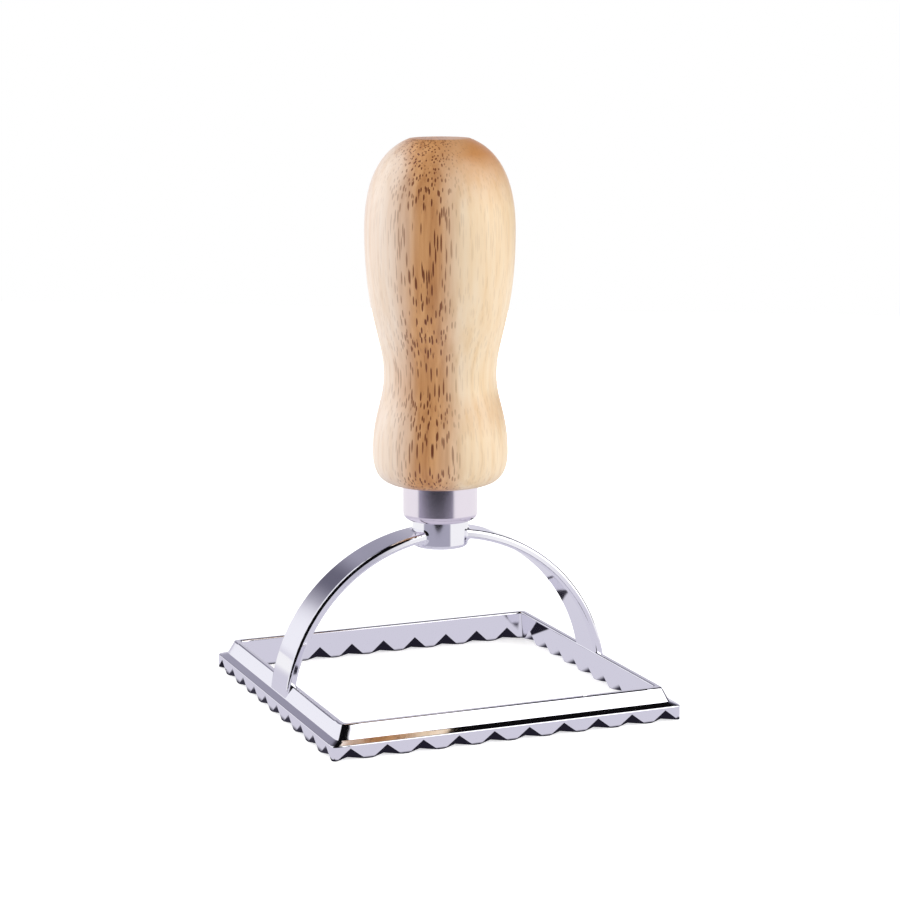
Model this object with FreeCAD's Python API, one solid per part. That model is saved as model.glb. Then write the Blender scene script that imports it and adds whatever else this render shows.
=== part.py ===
import FreeCAD
import Part

import math
import os

# Square ravioli stamp: a plated casting with a grooved cutting wall and a bow, a turned wooden
# handle over it, an aluminium ferrule between them and a steel stud that ties them together.
# Millimetres, +Z up. The origin is the middle of the cut square, level with the cutting edge.
# X runs along the bow, from one of its feet to the other.

# Cut square, and the tapering grooves in both faces of its wall
cut_side = 70.0
grooves_per_side = 10
groove_width = 6.0
groove_depth = 1.9
outer_groove_height = 2.15
inner_groove_height = 2.65
opening_draft = 0.7
lip_height = 2.7

# Section of the frame above the lip: a sloping ledge, a steep shoulder and a narrow crest
ledge_width = 1.42
ledge_rise = 0.58
shoulder_run = 1.23
shoulder_rise = 2.57
crest_width = 1.15
lip_corner_radius = 1.2
shoulder_corner_radius = 1.4
crest_corner_radius = 1.0
inner_corner_radius = 0.8
crest_rounding = 0.35
lip_rounding = 0.25

# Bow over the square
bow_top_height = 33.2
bow_thickness = 1.8
bow_foot_width = 9.4
bow_foot_inset = 0.1
bow_hub_width = 7.0
bow_edge_rounding = 0.55

# Hub that the two arms of the bow run into; it stands above the bow and hangs below it
hub_diameter = 10.9
hub_rise = 1.6
hub_drop = 1.8
hub_rounding = 0.7
hub_fillet = 0.6

# Ferrule, a turned cup that stands on the hub
ferrule_diameter = 14.5
ferrule_height = 7.1
ferrule_wall = 0.8
ferrule_floor = 1.0
ferrule_bottom_rounding = 1.4
ferrule_rim_rounding = 0.2

# Handle, turned from one length of wood; heights are above the ferrule's rim
handle_length = 66.2
belly_diameter = 28.8
belly_below_top = 17.4
waist_diameter = 21.7
waist_height = 21.3
heel_diameter = 26.1
heel_height = 6.2
heel_overhang = 0.7
heel_flare = 3.1
top_flat_diameter = 11.4
top_dome_reach = 5.0
top_edge_rounding = 0.5
tenon_length = 5.6
tenon_clearance = 0.1

# Stud that holds the handle to the hub
stud_diameter = 4.0
stud_clearance = 0.05
stud_length = 30.0
stud_depth_in_hub = 3.6
stud_chamfer = 0.5

# Curve of a groove's flank, in shares of half its width and of its depth, from crease to mouth
FLANK_SHARES = [(0, 0), (0.36, 0.38), (0.76, 0.84), (1, 1.02)]
# How far a groove's space runs past the wall's face, and past both ends of its crease, in shares
# of the groove's depth and height
GROOVE_OUTSIDE = 0.5
GROOVE_OVERRUN = 0.4
# Fullness of the rounded corners, in shares of the corner's length or of its radius
CORNER_REACH = 0.6
CORNER_FULLNESS = 0.4
# Fullness of the handle's outline, in shares of the height that each curve climbs
HEEL_BELOW = 0.75
HEEL_ABOVE = 0.5
WAIST_BELOW = 0.35
WAIST_ABOVE = 0.25
BELLY_BELOW = 0.6
BELLY_ABOVE = 0.6
DOME_DROP = 0.105

vec = FreeCAD.Vector
UP = vec(0, 0, 1)
CENTRE = vec(0, 0, 0)
TOLERANCE = 0.001

# Places that follow from the sizes above
half_side = cut_side / 2
pitch = cut_side / grooves_per_side
shoulder_foot_half = half_side - ledge_width
crest_half = shoulder_foot_half - shoulder_run
inner_half = crest_half - crest_width
outer_straight = half_side - pitch / 2
inner_straight = outer_straight - pitch / 2
shoulder_foot_height = lip_height + ledge_rise
crest_height = shoulder_foot_height + shoulder_rise
bow_foot_half = inner_half + bow_foot_inset
bow_spring_rise = bow_top_height - bow_thickness - crest_height
bow_inner_radius = (bow_foot_half ** 2 + bow_spring_rise ** 2) / (2 * bow_spring_rise)
bow_outer_radius = bow_inner_radius + bow_thickness
bow_centre = vec(0, 0, bow_top_height - bow_outer_radius)
hub_bottom_height = bow_top_height - bow_thickness - hub_drop
hub_top_height = bow_top_height + hub_rise
ferrule_rim_height = hub_top_height + ferrule_height
handle_top_height = ferrule_rim_height + handle_length
stud_bottom_height = hub_top_height - stud_depth_in_hub
stud_top_height = stud_bottom_height + stud_length


def opening_half(z):
    """Half the side of the square opening at a height; it widens towards the cutting edge."""
    return inner_half + opening_draft * (1 - z / crest_height)


def bezier(points):
    """One edge along the Bezier curve with these control points."""
    curve = Part.BezierCurve()
    curve.setPoles(points)
    return curve.toShape()


def quarter_turns(edges):
    """The wire that repeats one side's edges on all four sides of the square."""
    ring = []
    for turn in range(4):
        for edge in edges:
            copy = edge.copy()
            copy.rotate(CENTRE, UP, 90 * turn)
            ring.append(copy)
    return Part.Wire(ring)


def corner_edges(start, reach, half, radius):
    """Two mirrored curves from the front side, round its right corner, to the right side."""
    out = half - radius * (1 - math.sqrt(0.5))
    middle = vec(out, -out, start.z)
    along = vec(1, 1, 0).normalize()
    first = [
        start,
        start + vec(reach, 0, 0),
        middle - along * radius * CORNER_FULLNESS,
        middle,
    ]
    second = [vec(-p.y, -p.x, p.z) for p in reversed(first)]
    return [bezier(first), bezier(second)]


def square_ring(half, radius, z, corner_start):
    """A square wire with rounded corners, whose sides are straight up to corner_start."""
    side = Part.makeLine(vec(-corner_start, -half, z), vec(corner_start, -half, z))
    reach = (half - corner_start) * CORNER_REACH
    return quarter_turns([side] + corner_edges(vec(corner_start, -half, z), reach, half, radius))


def groove_flank(middle, crease, across, outward):
    """One curved flank of a groove at the cutting edge, from its crease to its mouth."""
    return bezier([
        vec(middle + across * share * groove_width / 2, crease + outward * rise * groove_depth, 0)
        for share, rise in FLANK_SHARES
    ])


def groove_section(middle, crease, outward):
    """The section of one groove at the cutting edge, closed a little way outside the wall."""
    flanks = [groove_flank(middle, crease, across, outward) for across in (-1, 1)]
    left, right = [flank.valueAt(flank.LastParameter) for flank in flanks]
    out = vec(0, outward * GROOVE_OUTSIDE * groove_depth, 0)
    closing = Part.makePolygon([left, left + out, right + out, right])
    return Part.Face(Part.Wire(flanks + closing.Edges))


def groove_space(middle, face, end_face, end_height, outward):
    """The space of one groove in the front wall; its crease climbs out of the wall's face.

    The face has one place at the cutting edge and another at the height where the groove ends.
    """
    crease = face - outward * groove_depth
    climb = vec(0, end_face - crease, end_height)
    space = groove_section(middle, crease, outward).extrude(climb * (1 + 2 * GROOVE_OVERRUN))
    space.translate(climb * -GROOVE_OVERRUN)
    return space


def make_groove_spaces():
    """All grooves: those inside the wall lie between those outside it, on all four sides."""
    inside_end = -opening_half(inner_groove_height)
    front = [
        groove_space(i * pitch - outer_straight, -half_side, -half_side, outer_groove_height, -1)
        for i in range(grooves_per_side)
    ]
    front += [
        groove_space(i * pitch - inner_straight, -opening_half(0), inside_end, inner_groove_height, 1)
        for i in range(grooves_per_side - 1)
    ]
    spaces = []
    for turn in range(4):
        for space in front:
            copy = space.copy()
            copy.rotate(CENTRE, UP, 90 * turn)
            spaces.append(copy)
    return spaces


def make_plain_frame():
    """The frame without its grooves: lip, ledge, shoulder and crest round a straight opening."""
    levels = [
        (half_side, lip_corner_radius, 0),
        (half_side, lip_corner_radius, lip_height),
        (shoulder_foot_half, shoulder_corner_radius, shoulder_foot_height),
        (crest_half, crest_corner_radius, crest_height),
    ]
    rings = [
        square_ring(half, radius, z, outer_straight - half_side + half)
        for half, radius, z in levels
    ]
    block = Part.makeLoft(rings, True, True)
    opening = Part.makeLoft([
        square_ring(opening_half(z), inner_corner_radius, z, inner_straight)
        for z in (0, crest_height)
    ], True, True)
    frame = block.cut(opening)
    crest_edges = [e for e in frame.Edges if e.BoundBox.ZMin > crest_height - TOLERANCE]
    frame = frame.makeFillet(crest_rounding, crest_edges)
    lip_edges = [
        e for e in frame.Edges
        if abs(e.BoundBox.ZMin - lip_height) < TOLERANCE and abs(e.BoundBox.ZMax - lip_height) < TOLERANCE
    ]
    return frame.makeFillet(lip_rounding, lip_edges)


def make_arm():
    """One arm of the bow, from its foot on the left side of the frame to the hub."""
    drum = Part.makeCylinder(bow_outer_radius, bow_foot_width, bow_centre, vec(0, 1, 0))
    hollow = Part.makeCylinder(bow_inner_radius, bow_foot_width, bow_centre, vec(0, 1, 0))
    ring = drum.cut(hollow)
    ring.translate(vec(0, -bow_foot_width / 2, 0))
    foot_half = bow_foot_width / 2
    top_half = bow_hub_width / 2
    plan = Part.makePolygon([
        vec(0, -top_half, shoulder_foot_height),
        vec(0, top_half, shoulder_foot_height),
        vec(-bow_outer_radius, foot_half, shoulder_foot_height),
        vec(-bow_outer_radius, -foot_half, shoulder_foot_height),
        vec(0, -top_half, shoulder_foot_height),
    ])
    arm = ring.common(Part.Face(plan).extrude(vec(0, 0, bow_top_height)))
    long_edges = [e for e in arm.Edges if e.BoundBox.XLength > bow_inner_radius / 2]
    return arm.makeFillet(bow_edge_rounding, long_edges).cut(make_foot_trim())


def make_foot_trim():
    """A block inside the frame, below its crest, that no part of an arm may reach into."""
    half = opening_half(0)
    return Part.makeBox(2 * half, 2 * half, crest_height - 2 * crest_rounding, vec(-half, -half, 0))


def make_hub():
    """The round boss in the middle of the bow, rounded at its lower edge."""
    height = hub_top_height - hub_bottom_height
    hub = Part.makeCylinder(hub_diameter / 2, height, vec(0, 0, hub_bottom_height))
    lower_edges = [e for e in hub.Edges if e.BoundBox.ZMax < hub_bottom_height + TOLERANCE]
    return hub.makeFillet(hub_rounding, lower_edges)


def is_arm_joint(edge):
    """Whether an edge of the bow is a line in which an arm meets the side of the hub."""
    box = edge.BoundBox
    if box.ZMin < hub_bottom_height + hub_rounding + TOLERANCE or box.ZMax > hub_top_height - TOLERANCE:
        return False
    return all(abs(math.hypot(p.x, p.y) - hub_diameter / 2) < TOLERANCE for p in edge.discretize(5))


def make_bow():
    """Both arms and the hub in one piece, with a hollow round where each arm runs in."""
    arm = make_arm()
    bow = make_hub().multiFuse([arm, arm.mirror(CENTRE, vec(1, 0, 0))]).Solids[0]
    return bow.makeFillet(hub_fillet, [e for e in bow.Edges if is_arm_joint(e)])


def stud_hole(bottom, top):
    """The round space that the stud needs between two heights."""
    return Part.makeCylinder(stud_diameter / 2 + stud_clearance, top - bottom, vec(0, 0, bottom))


def make_cutter_frame():
    """The whole casting: grooved frame, bow and hub in one piece, with a blind hole on top."""
    casting = make_plain_frame().cut(make_groove_spaces()).fuse(make_bow())
    return casting.cut(stud_hole(stud_bottom_height, hub_top_height)).Solids[0]


def make_ferrule():
    """A turned cup on top of the hub, with a hole in its floor for the stud."""
    radius = ferrule_diameter / 2
    cup = Part.makeCylinder(radius, ferrule_height, vec(0, 0, hub_top_height))
    foot_edges = [e for e in cup.Edges if e.BoundBox.ZMax < hub_top_height + TOLERANCE]
    cup = cup.makeFillet(ferrule_bottom_rounding, foot_edges)
    rim_edges = [e for e in cup.Edges if e.BoundBox.ZMin > ferrule_rim_height - TOLERANCE]
    cup = cup.makeFillet(ferrule_rim_rounding, rim_edges)
    floor_height = hub_top_height + ferrule_floor
    bore = Part.makeCylinder(radius - ferrule_wall, ferrule_height, vec(0, 0, floor_height))
    return cup.cut(bore).cut(stud_hole(hub_top_height, floor_height))


def outline_curve(start, start_pull, end_pull, end):
    """One curve of the handle's outline through four pairs of a radius and a height."""
    return bezier([vec(radius, 0, height) for radius, height in (start, start_pull, end_pull, end)])


def outline_line(start, end):
    """One straight line of the handle's outline between two pairs of a radius and a height."""
    return Part.makeLine(vec(start[0], 0, start[1]), vec(end[0], 0, end[1]))


def grip_outline():
    """The curved outline of the grip, from its base over heel, waist and belly to its flat top."""
    heel = ferrule_rim_height + heel_height
    waist = ferrule_rim_height + waist_height
    belly = handle_top_height - belly_below_top
    base_radius = ferrule_diameter / 2 + heel_overhang
    heel_radius = heel_diameter / 2
    waist_radius = waist_diameter / 2
    belly_radius = belly_diameter / 2
    flat_radius = top_flat_diameter / 2
    return [
        outline_curve(
            (base_radius, ferrule_rim_height), (base_radius + heel_flare, ferrule_rim_height),
            (heel_radius, heel - HEEL_BELOW * heel_height), (heel_radius, heel)
        ),
        outline_curve(
            (heel_radius, heel), (heel_radius, heel + HEEL_ABOVE * (waist - heel)),
            (waist_radius, waist - WAIST_BELOW * (waist - heel)), (waist_radius, waist)
        ),
        outline_curve(
            (waist_radius, waist), (waist_radius, waist + WAIST_ABOVE * (belly - waist)),
            (belly_radius, belly - BELLY_BELOW * (belly - waist)), (belly_radius, belly)
        ),
        outline_curve(
            (belly_radius, belly), (belly_radius, belly + BELLY_ABOVE * belly_below_top),
            (flat_radius + top_dome_reach, handle_top_height - DOME_DROP * belly_below_top),
            (flat_radius, handle_top_height)
        ),
    ]


def make_handle():
    """The turned grip with its tenon, as one profile spun round the axis."""
    tenon_radius = ferrule_diameter / 2 - ferrule_wall - tenon_clearance
    base_radius = ferrule_diameter / 2 + heel_overhang
    tenon_end = ferrule_rim_height - tenon_length
    outline = [
        outline_line((0, tenon_end), (tenon_radius, tenon_end)),
        outline_line((tenon_radius, tenon_end), (tenon_radius, ferrule_rim_height)),
        outline_line((tenon_radius, ferrule_rim_height), (base_radius, ferrule_rim_height)),
    ]
    outline += grip_outline()
    outline += [
        outline_line((top_flat_diameter / 2, handle_top_height), (0, handle_top_height)),
        outline_line((0, handle_top_height), (0, tenon_end)),
    ]
    wood = Part.Face(Part.Wire(outline)).revolve(CENTRE, UP, 360)
    top_edges = [e for e in wood.Edges if e.BoundBox.ZMin > handle_top_height - TOLERANCE]
    wood = wood.makeFillet(top_edge_rounding, top_edges)
    return wood.cut(stud_hole(tenon_end, stud_top_height))


def make_handle_stud():
    """A plain steel stud, chamfered at both ends."""
    stud = Part.makeCylinder(stud_diameter / 2, stud_length, vec(0, 0, stud_bottom_height))
    end_edges = [e for e in stud.Edges if e.Curve.TypeId == "Part::GeomCircle"]
    return stud.makeChamfer(stud_chamfer, end_edges)


def main():
    """Writes one STEP file for each piece."""
    os.makedirs("parts", exist_ok=True)
    nodes = {
        "cutter_frame": make_cutter_frame(),
        "ferrule": make_ferrule(),
        "handle": make_handle(),
        "handle_stud": make_handle_stud(),
    }
    for name, shape in nodes.items():
        shape.exportStep(os.path.join("parts", name + ".step"))
        print(name, "volume", round(shape.Volume, 1), "valid", shape.isValid(), "solids", len(shape.Solids))


main()
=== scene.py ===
import math

import bpy
from mathutils import Matrix, Vector

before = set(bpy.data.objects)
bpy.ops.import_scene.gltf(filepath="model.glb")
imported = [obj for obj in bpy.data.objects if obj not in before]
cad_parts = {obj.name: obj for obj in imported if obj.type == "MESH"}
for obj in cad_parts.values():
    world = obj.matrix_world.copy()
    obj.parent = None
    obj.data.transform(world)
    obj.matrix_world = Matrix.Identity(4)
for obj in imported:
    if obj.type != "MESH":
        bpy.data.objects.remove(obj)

# Square ravioli stamp: chrome plated casting, aluminium ferrule, steel stud and a turned
# rubberwood handle. The frame gives every piece its place; this script gives the finishes.

MM = 0.001

# Camera: a long lens a little above the table, to the left of the front side; angles in radians
CAMERA_PLACE = (-175.577 * MM, -433.571 * MM, 133.922 * MM)
CAMERA_YAW = 0.388795
CAMERA_PITCH = 0.181125
CAMERA_ROLL = -0.000627
SENSOR_WIDTH = 36.0
IMAGE_WIDTH = 900
FOCAL_PIXELS = 2463.31

# Lamps for the matt pieces: azimuth and elevation in degrees, width and height in metres, radiance
LEFT_LAMP = (-130, 25, 0.9, 0.75, 1.5)
RIGHT_LAMP = (60, 25, 0.95, 0.75, 1.3)
LAMP_DISTANCE = 0.75
LAMP_AIM_HEIGHT = 50 * MM
EVEN_LIGHT = 0.75

# The studio that the shiny pieces mirror. Azimuths run round +Z from -Y towards +X, elevations
# run up from the level of the table, and all of them and the soft borders are in degrees.
SECTOR_BORDER = 5
DARK_ROOM = (-92, 19)
DARK_ROOM_TONE = "#08080A"
LEFT_SOFTBOX = (-160, -92)
LEFT_SOFTBOX_TOP = 68
LEFT_SOFTBOX_TONE = "#FAFAFF"
RIGHT_SOFTBOX = (19, 76)
RIGHT_SOFTBOX_TOP = 60
RIGHT_SOFTBOX_GAIN = 0.8
SOFTBOX_TOP_BORDER = 4
# Darker gaps beyond the left and the right softbox: azimuths with their border, elevations, tone
GAPS = [((-174, -163), 9, (3, 60), "#6C6A7A"), ((76, 134), 5, (-8, 20), "#131218")]
GAP_TOP_BORDER = 9
# The wall behind all of these: its tone from the level of the table upwards
BACK_WALL = [
    (0, "#DCDAE6"), (9, "#E2E0EA"), (17, "#C4C2CE"), (22, "#A6A4B4"),
    (28, "#8E8C9C"), (36, "#55535E"), (47, "#0B0A0C")
]
BELOW_TABLE = (-120, 0)
HORIZON_BORDER = 2
FLOOR_TONE = "#DAD8E4"
WHITE = "#FFFFFF"

# Table: its front edge lies this far from the axis, towards this azimuth
TABLE_EDGE_DISTANCE = 160 * MM
TABLE_EDGE_AZIMUTH = -30
TABLE_REACH = 600 * MM
TABLE_PAINT_TONE = "#F2F2F2"
# To the camera the table glows a little by the stamp, and it is plain white from further out
TABLE_GLOW = (0.45, 1.0)
TABLE_GLOW_REACH = (80 * MM, 400 * MM)
# In a mirror it is painted white away from the stamp, as if the softboxes lit it, and painted
# greyer towards the dark part of the room: where that begins and where it is complete
FAR_TABLE = (75 * MM, 140 * MM)
UNLIT_TABLE_TONE = "#ACAABA"
UNLIT_BORDER = 8
# Painted shade on the square ring of the table where the wall of the stamp stands: where it lies
# from the axis at the two sides and at the front and the back, and its tones
SIDE_SHADE = (32.0 * MM, 35.6 * MM)
SIDE_SHADE_TONE = "#3A3844"
FRONT_SHADE = (31.3 * MM, 35.9 * MM)
FRONT_SHADE_TONE = "#23212C"
SHADE_BORDER = 1.0 * MM

# Patterns of the metals. The wave of the rings repeats about 3.2 times in its unit, so the
# rings lie 0.11 mm apart.
CASTING_WAVE = 9 * MM
RING_UNIT = 0.35 * MM
STEEL_GRAIN = 0.8 * MM

# Patterns of the wood: their sizes in millimetres along X, Y and the handle
PORE = (0.48, 0.48, 5.5)
PORE_GROUP = (1.6, 1.6, 18.0)
STREAK = (1.3, 1.3, 30.0)
LAYER_DRIFT = (9.0, 9.0, 45.0)
# The log: the direction across its layers seen from above, how far to each side of the axis its
# pink side turns to its straw side, and the honey layer with its soft border and its drift; the
# honey layer runs down the middle between the side lamps and is partly painted shade
ACROSS = (0.93, -0.37, 0.0)
SIDE_TURN = 6 * MM
HONEY_AND_SHADE_LAYER = (-7.1 * MM, 1.8 * MM)
HONEY_AND_SHADE_BORDER = 6.5 * MM
HONEY_AND_SHADE_DRIFT = 3 * MM
# Tones from the palest streaks to the darkest: the pale sides are partly painted sheen, the honey and
# the end grain tone partly painted shade
PINK_SIDE = [(0.3, "#F1DFCF"), (0.5, "#EFDAC7"), (0.7, "#EAD1B9")]
STRAW_SIDE = [(0.3, "#F1DABA"), (0.5, "#EFD4AF"), (0.7, "#E9C99D")]
HONEY_AND_SHADE_TONES = [(0.3, "#DEA56C"), (0.5, "#CF935A"), (0.7, "#BA7B44")]
END_GRAIN_AND_SHADE_TONE = "#C8894B"
PORE_TONE = "#743400"

# Settings that several nodes share
PRODUCT = {"operation": "MULTIPLY"}
SMOOTH = {"interpolation_type": "SMOOTHSTEP"}
COLOURS = {"data_type": "RGBA"}


def linear(hex_colour):
    """An sRGB hex colour as the linear RGBA that the shaders take."""
    channels = [int(hex_colour[i:i + 2], 16) / 255 for i in (1, 3, 5)]
    return [c / 12.92 if c <= 0.04045 else ((c + 0.055) / 1.055) ** 2.4 for c in channels] + [1.0]


def add(tree, kind, settings=None, **inputs):
    """A node of that kind with its settings; each input gets a value or a link from a socket.

    An input goes by its name, with underscores for spaces, or by the letter i and its number.
    """
    node = tree.nodes.new(kind)
    for name, value in (settings or {}).items():
        setattr(node, name, value)
    for name, value in inputs.items():
        key = int(name[1:]) if name[0] == "i" and name[1:].isdigit() else name.replace("_", " ")
        if isinstance(value, bpy.types.NodeSocket):
            tree.links.new(value, node.inputs[key])
        else:
            node.inputs[key].default_value = value
    return node


def new_material(name):
    """An empty node material and its tree."""
    material = bpy.data.materials.new(name)
    material.use_nodes = True
    material.node_tree.nodes.clear()
    return material, material.node_tree


def band(tree, value, start, end, border):
    """One between two values of a socket and nought outside them, with soft borders."""
    rise = add(
        tree, "ShaderNodeMapRange", SMOOTH,
        Value=value, From_Min=start - border / 2, From_Max=start + border / 2
    )
    fall = add(
        tree, "ShaderNodeMapRange", SMOOTH,
        Value=value, From_Min=end - border / 2, From_Max=end + border / 2, To_Min=1.0, To_Max=0.0
    )
    both = add(tree, "ShaderNodeMath", PRODUCT, i0=rise.outputs["Result"], i1=fall.outputs["Result"])
    return both.outputs[0]


def colour_steps(tree, value, steps):
    """A colour that runs through steps of a position from 0 to 1 and a hex colour."""
    node = add(tree, "ShaderNodeValToRGB", Fac=value)
    ramp = node.color_ramp
    while len(ramp.elements) < len(steps):
        ramp.elements.new(1.0)
    for element, (position, colour) in zip(ramp.elements, steps):
        element.position = position
        element.color = linear(colour)
    return node.outputs["Color"]


def chrome_plate():
    """Bright chrome over a polished casting: a mirror with a cool cast and soft casting waves."""
    material, tree = new_material("bright_chrome_plate")
    place = add(tree, "ShaderNodeTexCoord").outputs["Object"]
    waves = add(tree, "ShaderNodeTexNoise", Vector=place, Scale=1 / CASTING_WAVE, Detail=1.0)
    bump = add(
        tree, "ShaderNodeBump", Strength=0.05, Distance=0.2 * MM, Height=waves.outputs["Fac"]
    )
    shader = add(
        tree, "ShaderNodeBsdfPrincipled",
        Base_Color=linear("#F0EFF5"), Metallic=1.0, Roughness=0.06, Normal=bump.outputs["Normal"]
    )
    add(tree, "ShaderNodeOutputMaterial", Surface=shader.outputs["BSDF"])
    return material


def turned_aluminium():
    """Satin turned aluminium: fine tool rings run round the axis and blur what it mirrors."""
    material, tree = new_material("satin_turned_aluminium")
    place = add(tree, "ShaderNodeTexCoord").outputs["Object"]
    rings = add(
        tree, "ShaderNodeTexWave", {"bands_direction": "Z"},
        Vector=place, Scale=1 / RING_UNIT, Distortion=1.5, Detail=2.0
    )
    bump = add(
        tree, "ShaderNodeBump", Strength=0.1, Distance=0.01 * MM, Height=rings.outputs["Fac"]
    )
    shader = add(
        tree, "ShaderNodeBsdfPrincipled",
        Base_Color=linear("#E8E0EA"), Metallic=1.0, Roughness=0.15, Normal=bump.outputs["Normal"]
    )
    add(tree, "ShaderNodeOutputMaterial", Surface=shader.outputs["BSDF"])
    return material


def plain_steel():
    """Bright drawn steel, as on a plain stud: a slightly rough grey metal."""
    material, tree = new_material("drawn_steel")
    place = add(tree, "ShaderNodeTexCoord").outputs["Object"]
    grain = add(tree, "ShaderNodeTexNoise", Vector=place, Scale=1 / STEEL_GRAIN, Detail=3.0)
    rough = add(
        tree, "ShaderNodeMapRange", Value=grain.outputs["Fac"], To_Min=0.25, To_Max=0.4
    )
    shader = add(
        tree, "ShaderNodeBsdfPrincipled",
        Base_Color=linear("#BDBDC2"), Metallic=1.0, Roughness=rough.outputs["Result"]
    )
    add(tree, "ShaderNodeOutputMaterial", Surface=shader.outputs["BSDF"])
    return material


def wood_grain(tree, sizes):
    """Places in the wood, for a pattern of those sizes in millimetres."""
    place = add(tree, "ShaderNodeTexCoord").outputs["Object"]
    scale = [1 / (size * MM) for size in sizes]
    return add(tree, "ShaderNodeMapping", Vector=place, Scale=scale).outputs[0]


def wood_pores(tree):
    """Long thin pores that run along the handle: one where it is open, nought elsewhere."""
    cells = add(tree, "ShaderNodeTexVoronoi", Vector=wood_grain(tree, PORE), Scale=1.0)
    pore = add(
        tree, "ShaderNodeMapRange", SMOOTH,
        Value=cells.outputs["Distance"], From_Min=0.26, From_Max=0.4, To_Min=1.0, To_Max=0.0
    )
    groups = add(
        tree, "ShaderNodeTexNoise", Vector=wood_grain(tree, PORE_GROUP), Scale=1.0, Detail=2.0
    )
    dense = add(
        tree, "ShaderNodeMapRange", Value=groups.outputs["Fac"], From_Min=0.29, From_Max=0.39
    )
    pores = add(
        tree, "ShaderNodeMath", PRODUCT, i0=pore.outputs["Result"], i1=dense.outputs["Result"]
    )
    return pores.outputs[0]


def honey_and_shade_layer(tree):
    """The darker layer of the log in the handle, partly painted shade down its middle between the
    side lamps, and which side of the axis a place is on.
    """
    place = add(tree, "ShaderNodeTexCoord").outputs["Object"]
    across = add(
        tree, "ShaderNodeVectorMath", {"operation": "DOT_PRODUCT"}, i0=place, i1=ACROSS
    ).outputs["Value"]
    side = add(
        tree, "ShaderNodeMapRange", Value=across, From_Min=-SIDE_TURN, From_Max=SIDE_TURN
    ).outputs["Result"]
    drift = add(
        tree, "ShaderNodeTexNoise", Vector=wood_grain(tree, LAYER_DRIFT), Scale=1.0, Detail=2.0
    )
    shift = add(
        tree, "ShaderNodeMapRange",
        Value=drift.outputs["Fac"], To_Min=-HONEY_AND_SHADE_DRIFT, To_Max=HONEY_AND_SHADE_DRIFT
    )
    moved = add(tree, "ShaderNodeMath", i0=across, i1=shift.outputs["Result"])
    return band(tree, moved.outputs[0], *HONEY_AND_SHADE_LAYER, HONEY_AND_SHADE_BORDER), side


def lacquered_rubberwood():
    """Turned rubberwood under satin lacquer: cream, brown open pores and a honey layer, partly
    painted shade.

    Where it faces up, the straw side darkens as end grain does where the dome cuts the fibres across,
    and as painted shade from the dark above.
    """
    material, tree = new_material("lacquered_rubberwood")
    honey_and_shade_mask, side = honey_and_shade_layer(tree)
    streaks = add(
        tree, "ShaderNodeTexNoise", Vector=wood_grain(tree, STREAK), Scale=1.0, Detail=4.0
    ).outputs["Fac"]
    pink, straw, honey_and_shade_colour = [
        colour_steps(tree, streaks, steps) for steps in (PINK_SIDE, STRAW_SIDE, HONEY_AND_SHADE_TONES)
    ]
    pale = add(tree, "ShaderNodeMix", COLOURS, i0=side, i6=pink, i7=straw).outputs[2]
    # The honey layer is partly painted shade, and the pale sides are partly painted sheen
    wood = add(tree, "ShaderNodeMix", COLOURS, i0=honey_and_shade_mask, i6=pale, i7=honey_and_shade_colour).outputs[2]
    # Pores fade on the pale sides: partly paler wood, partly painted sheen that washes them out
    strength = add(tree, "ShaderNodeMapRange", Value=honey_and_shade_mask, To_Min=0.1, To_Max=1.0)
    pores = add(
        tree, "ShaderNodeMath", PRODUCT, i0=wood_pores(tree), i1=strength.outputs["Result"]
    ).outputs[0]
    # Darker where the surface faces up, on the straw side: end grain and painted shade from the dark
    # above
    surface = add(tree, "ShaderNodeNewGeometry")
    normal = add(tree, "ShaderNodeSeparateXYZ", Vector=surface.outputs["Normal"])
    end_grain_and_shade = add(
        tree, "ShaderNodeMapRange",
        Value=normal.outputs["Z"], From_Min=0.12, From_Max=0.7, To_Max=side
    ).outputs["Result"]
    wood = add(
        tree, "ShaderNodeMix", COLOURS, i0=end_grain_and_shade, i6=wood, i7=linear(END_GRAIN_AND_SHADE_TONE)
    ).outputs[2]
    wood = add(tree, "ShaderNodeMix", COLOURS, i0=pores, i6=wood, i7=linear(PORE_TONE)).outputs[2]
    shader = add(
        tree, "ShaderNodeBsdfPrincipled",
        Base_Color=wood, Roughness=0.5, Coat_Weight=0.6, Coat_Roughness=0.3
    )
    add(tree, "ShaderNodeOutputMaterial", Surface=shader.outputs["BSDF"])
    return material


def make_camera():
    """The camera at the photograph's place and angle."""
    data = bpy.data.cameras.new("camera")
    data.sensor_width = SENSOR_WIDTH
    data.lens = FOCAL_PIXELS * SENSOR_WIDTH / IMAGE_WIDTH
    data.clip_start = 0.01
    data.clip_end = 100
    camera = bpy.data.objects.new("camera", data)
    bpy.context.scene.collection.objects.link(camera)
    place = Matrix.Translation(CAMERA_PLACE)
    yaw = Matrix.Rotation(-CAMERA_YAW, 4, "Z")
    pitch = Matrix.Rotation(math.pi / 2 - CAMERA_PITCH, 4, "X")
    roll = Matrix.Rotation(CAMERA_ROLL, 4, "Z")
    camera.matrix_world = place @ yaw @ pitch @ roll
    bpy.context.scene.camera = camera


def direction(azimuth, elevation):
    """The unit vector towards an azimuth and an elevation, in degrees."""
    a, e = math.radians(azimuth), math.radians(elevation)
    return Vector((math.sin(a) * math.cos(e), -math.cos(a) * math.cos(e), math.sin(e)))


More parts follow.
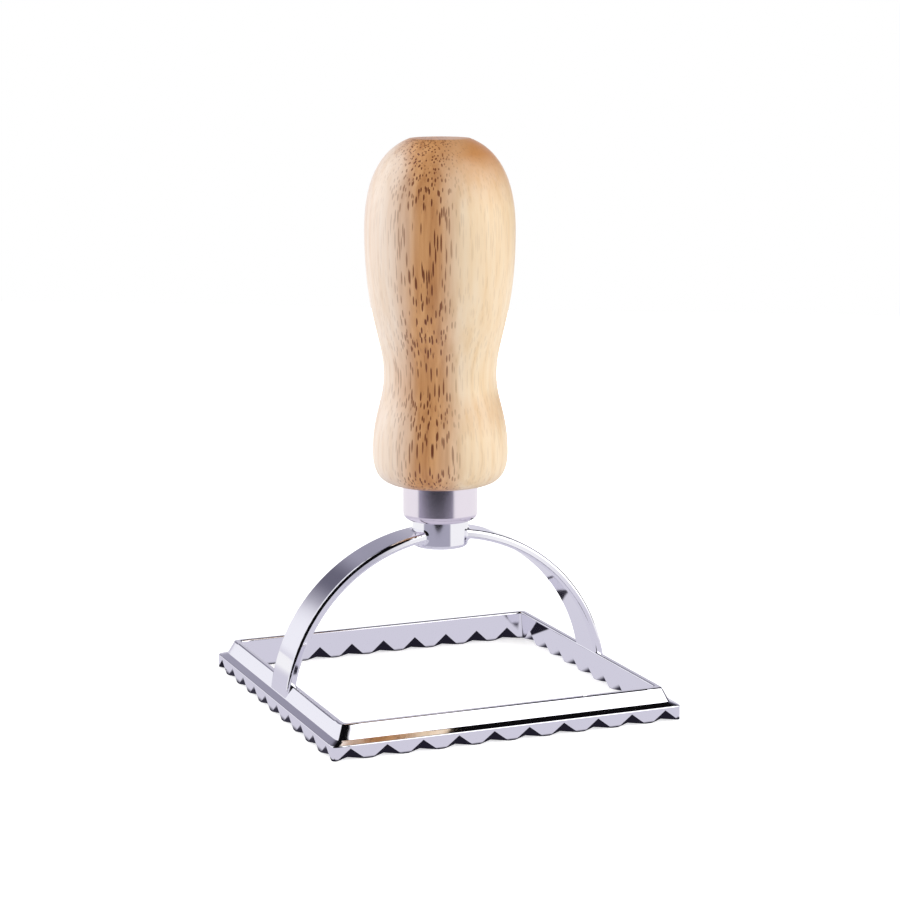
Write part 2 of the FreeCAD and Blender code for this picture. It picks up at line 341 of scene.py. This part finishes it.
def make_lamp(name, azimuth, elevation, width, height, radiance):
    """A rectangular soft light that faces the middle of the stamp; mirrors see the room instead."""
    data = bpy.data.lights.new(name, "AREA")
    data.shape = "RECTANGLE"
    data.size = width
    data.size_y = height
    data.energy = radiance * math.pi * width * height
    lamp = bpy.data.objects.new(name, data)
    bpy.context.scene.collection.objects.link(lamp)
    way = direction(azimuth, elevation)
    lamp.location = way * LAMP_DISTANCE + Vector((0, 0, LAMP_AIM_HEIGHT))
    lamp.rotation_mode = "QUATERNION"
    lamp.rotation_quaternion = way.to_track_quat("Z", "Y")
    lamp.visible_camera = False
    lamp.visible_glossy = False


def azimuth_round(tree, axes):
    """The azimuth of a place from its separated coordinates, in degrees."""
    front = add(tree, "ShaderNodeMath", PRODUCT, i0=axes.outputs["Y"], i1=-1.0)
    turn = add(
        tree, "ShaderNodeMath", {"operation": "ARCTAN2"}, i0=axes.outputs["X"], i1=front.outputs[0]
    )
    return add(tree, "ShaderNodeMath", {"operation": "DEGREES"}, i0=turn.outputs[0]).outputs[0]


def make_room(tree):
    """What the shiny pieces mirror: the colour and the strength of the studio round the table."""
    place = add(tree, "ShaderNodeTexCoord")
    axes = add(tree, "ShaderNodeSeparateXYZ", Vector=place.outputs["Generated"])
    azimuth = azimuth_round(tree, axes)
    rise = add(tree, "ShaderNodeMath", {"operation": "ARCSINE"}, i0=axes.outputs["Z"])
    elevation = add(
        tree, "ShaderNodeMath", {"operation": "DEGREES"}, i0=rise.outputs[0]
    ).outputs[0]
    height = add(tree, "ShaderNodeMapRange", Value=elevation, From_Min=0.0, From_Max=90.0)
    wall_steps = [(degrees / 90, colour) for degrees, colour in BACK_WALL]
    room = colour_steps(tree, height.outputs["Result"], wall_steps)
    below = band(tree, elevation, *BELOW_TABLE, HORIZON_BORDER)
    room = add(tree, "ShaderNodeMix", COLOURS, i0=below, i6=room, i7=linear(FLOOR_TONE)).outputs[2]
    dark = band(tree, azimuth, *DARK_ROOM, SECTOR_BORDER)
    room = add(tree, "ShaderNodeMix", COLOURS, i0=dark, i6=room, i7=linear(DARK_ROOM_TONE)).outputs[2]
    for sector, border, heights, tone in GAPS:
        gap = add(
            tree, "ShaderNodeMath", PRODUCT,
            i0=band(tree, azimuth, *sector, border),
            i1=band(tree, elevation, *heights, GAP_TOP_BORDER)
        ).outputs[0]
        room = add(tree, "ShaderNodeMix", COLOURS, i0=gap, i6=room, i7=linear(tone)).outputs[2]
    left, right = [
        add(
            tree, "ShaderNodeMath", PRODUCT,
            i0=band(tree, azimuth, *sector, SECTOR_BORDER),
            i1=band(tree, elevation, 0, top, SOFTBOX_TOP_BORDER)
        ).outputs[0]
        for sector, top in [(LEFT_SOFTBOX, LEFT_SOFTBOX_TOP), (RIGHT_SOFTBOX, RIGHT_SOFTBOX_TOP)]
    ]
    for softbox, tone in [(left, LEFT_SOFTBOX_TONE), (right, WHITE)]:
        room = add(tree, "ShaderNodeMix", COLOURS, i0=softbox, i6=room, i7=linear(tone)).outputs[2]
    strength = add(
        tree, "ShaderNodeMapRange", Value=right, To_Min=1.0, To_Max=1.0 + RIGHT_SOFTBOX_GAIN
    )
    return room, strength.outputs["Result"]


def make_world():
    """The studio: white to the camera, an even light for matt pieces, the room for shiny ones."""
    world = bpy.data.worlds.new("studio")
    world.use_nodes = True
    tree = world.node_tree
    tree.nodes.clear()
    colour, strength = make_room(tree)
    rays = add(tree, "ShaderNodeLightPath")
    mirrored = add(tree, "ShaderNodeBackground", Color=colour, Strength=strength)
    even = add(tree, "ShaderNodeBackground", Color=linear(WHITE), Strength=EVEN_LIGHT)
    white = add(tree, "ShaderNodeBackground", Color=linear(WHITE), Strength=1.0)
    felt = add(
        tree, "ShaderNodeMixShader",
        i0=rays.outputs["Is Glossy Ray"], i1=even.outputs[0], i2=mirrored.outputs[0]
    )
    final = add(
        tree, "ShaderNodeMixShader",
        i0=rays.outputs["Is Camera Ray"], i1=felt.outputs[0], i2=white.outputs[0]
    )
    add(tree, "ShaderNodeOutputWorld", Surface=final.outputs[0])
    bpy.context.scene.world = world


def painted_mirrored_table(tree, place):
    """The table as the shiny pieces see it, with the softboxes' light and the wall's shade painted
    in.
    """
    axes = add(tree, "ShaderNodeSeparateXYZ", Vector=place)
    across, along = [
        add(tree, "ShaderNodeMath", {"operation": "ABSOLUTE"}, i0=axes.outputs[axis]).outputs[0]
        for axis in ("X", "Y")
    ]
    reach = add(tree, "ShaderNodeVectorMath", {"operation": "LENGTH"}, i0=place).outputs["Value"]
    far = add(
        tree, "ShaderNodeMapRange", SMOOTH,
        Value=reach, From_Min=FAR_TABLE[0], From_Max=FAR_TABLE[1]
    ).outputs["Result"]
    # Painted shade: the far table greys towards the dark part of the room
    unlit = band(tree, azimuth_round(tree, axes), *DARK_ROOM, UNLIT_BORDER)
    far_colour = add(
        tree, "ShaderNodeMix", COLOURS, i0=unlit, i6=linear(WHITE), i7=linear(UNLIT_TABLE_TONE)
    ).outputs[2]
    colour = add(
        tree, "ShaderNodeMix", COLOURS, i0=far, i6=linear(FLOOR_TONE), i7=far_colour
    ).outputs[2]
    # Painted shade of the wall on a square ring of the table, at the sides and at the front and back
    for out, sideways, shade, tone in [
        (across, along, SIDE_SHADE, SIDE_SHADE_TONE), (along, across, FRONT_SHADE, FRONT_SHADE_TONE)
    ]:
        inside = add(
            tree, "ShaderNodeMath", {"operation": "LESS_THAN"}, i0=sideways, i1=shade[1]
        )
        painted_shade = add(
            tree, "ShaderNodeMath", PRODUCT,
            i0=band(tree, out, *shade, SHADE_BORDER), i1=inside.outputs[0]
        ).outputs[0]
        colour = add(
            tree, "ShaderNodeMix", COLOURS, i0=painted_shade, i6=colour, i7=linear(tone)
        ).outputs[2]
    return add(tree, "ShaderNodeEmission", Color=colour, Strength=1.0).outputs[0]


def table_paint():
    """Matt white: it keeps the shadow, and the shiny pieces mirror a glowing copy of it with painted
    light and shade.
    """
    material, tree = new_material("white_table")
    place = add(tree, "ShaderNodeTexCoord").outputs["Object"]
    reach = add(tree, "ShaderNodeVectorMath", {"operation": "LENGTH"}, i0=place).outputs["Value"]
    rays = add(tree, "ShaderNodeLightPath")
    fade = add(
        tree, "ShaderNodeMapRange", SMOOTH,
        Value=reach, From_Min=TABLE_GLOW_REACH[0], From_Max=TABLE_GLOW_REACH[1],
        To_Min=TABLE_GLOW[0], To_Max=TABLE_GLOW[1]
    )
    strength = add(
        tree, "ShaderNodeMath", PRODUCT,
        i0=rays.outputs["Is Camera Ray"], i1=fade.outputs["Result"]
    )
    glow = add(tree, "ShaderNodeEmission", Color=linear(WHITE), Strength=strength.outputs[0])
    paint = add(tree, "ShaderNodeBsdfDiffuse", Color=linear(TABLE_PAINT_TONE))
    plain = add(tree, "ShaderNodeAddShader", i0=glow.outputs[0], i1=paint.outputs[0])
    both = add(
        tree, "ShaderNodeMixShader",
        i0=rays.outputs["Is Glossy Ray"], i1=plain.outputs[0], i2=painted_mirrored_table(tree, place)
    )
    add(tree, "ShaderNodeOutputMaterial", Surface=both.outputs[0])
    return material


def make_floor():
    """The table top, whose straight front edge lies between the stamp and the dark of the room."""
    edge = direction(TABLE_EDGE_AZIMUTH, 0)
    along = Vector((-edge.y, edge.x, 0))
    front, back = edge * TABLE_EDGE_DISTANCE, -edge * TABLE_REACH
    side = along * TABLE_REACH
    mesh = bpy.data.meshes.new("table_top")
    mesh.from_pydata([front - side, front + side, back + side, back - side], [], [(0, 1, 2, 3)])
    mesh.materials.append(table_paint())
    floor = bpy.data.objects.new("table_top", mesh)
    bpy.context.scene.collection.objects.link(floor)


def dress(node, material):
    """Gives a piece of the frame its finish."""
    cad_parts[node].data.materials.clear()
    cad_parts[node].data.materials.append(material)


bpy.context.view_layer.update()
bpy.context.scene.view_settings.view_transform = "Standard"
dress("cutter_frame", chrome_plate())
dress("ferrule", turned_aluminium())
dress("handle", lacquered_rubberwood())
dress("handle_stud", plain_steel())
make_camera()
make_lamp("left_lamp", *LEFT_LAMP)
make_lamp("right_lamp", *RIGHT_LAMP)
make_world()
make_floor()
